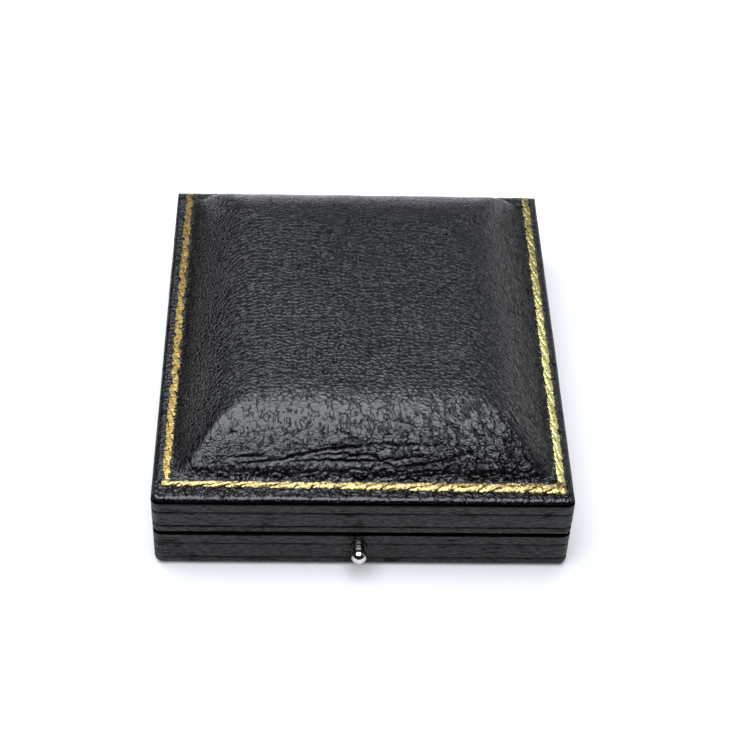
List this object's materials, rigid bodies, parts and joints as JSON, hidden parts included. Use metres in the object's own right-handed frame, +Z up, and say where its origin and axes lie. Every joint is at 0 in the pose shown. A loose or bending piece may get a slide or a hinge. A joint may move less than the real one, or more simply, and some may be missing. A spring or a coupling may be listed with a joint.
{
  "type": "pocket watch box",
  "caption": "Leather covered wooden case for a pocket watch, with a padded hinged lid, gold tooled line, brass rims, velvet nest and push-button catch.",
  "frame": {"origin": "centre of the box's underside, on the plane it rests on, with the button left out of the centring", "axes": "+Z up through the lid, +Y from the push button to the hinge, +X to the right as seen from the button"},
  "size_m": [0.084, 0.1022, 0.0288],
  "materials": {
    "leather": "black grained, half gloss",
    "gold": "gold leaf tooling, cracked",
    "wood": "planed, unpolished",
    "brass": "polished and lacquered",
    "nickel": "polished nickel plate",
    "steel": "spring steel, drawn",
    "velvet": "short pile velvet",
    "satin": "cream satin",
    "card": "grey pulp board",
    "padding": "pressed cotton wadding"
  },
  "bodies": {
    "base": {"base_cover": "leather", "base_bottom_cover": "leather", "base_floor": "wood", "base_front_wall": "wood", "base_back_wall": "wood", "base_left_wall": "wood", "base_right_wall": "wood", "base_rim": "brass", "base_rim_pin_front_left": "brass", "base_rim_pin_front_right": "brass", "base_rim_pin_back_left": "brass", "base_rim_pin_back_right": "brass", "nest_core": "card", "nest_velvet": "velvet", "recess_pad": "velvet", "button_bush": "brass", "catch_spring": "steel", "catch_spring_screw_left": "steel", "catch_spring_screw_right": "steel", "hinge_pin_left": "steel", "hinge_pin_right": "steel"},
    "button": {"push_button": "nickel", "catch_hook": "brass"},
    "lid": {"lid_cover": "leather", "lid_gilt_line": "gold", "lid_top_board": "wood", "lid_front_wall": "wood", "lid_back_wall": "wood", "lid_left_wall": "wood", "lid_right_wall": "wood", "crown_padding": "padding", "lid_rim": "brass", "lid_rim_pin_front_left": "brass", "lid_rim_pin_front_right": "brass", "lid_rim_pin_back_left": "brass", "lid_rim_pin_back_right": "brass", "lid_lining_card": "card", "lid_side_lining": "satin", "lid_satin_pad": "satin"}
  },
  "joints": [
    {"name": "lid_hinge", "type": "hinge", "parent": "base", "child": "lid", "pos_m": [0, 0.0479, 0.0097], "axis": [-1, 0, 0], "range_deg": [0, 100]},
    {"name": "button_press", "type": "slide", "parent": "base", "child": "button", "axis": [0, 1, 0], "range_m": [0, 0.0012], "stiffness_N_per_m": 1500, "deforming": ["catch_spring"]}
  ]
}
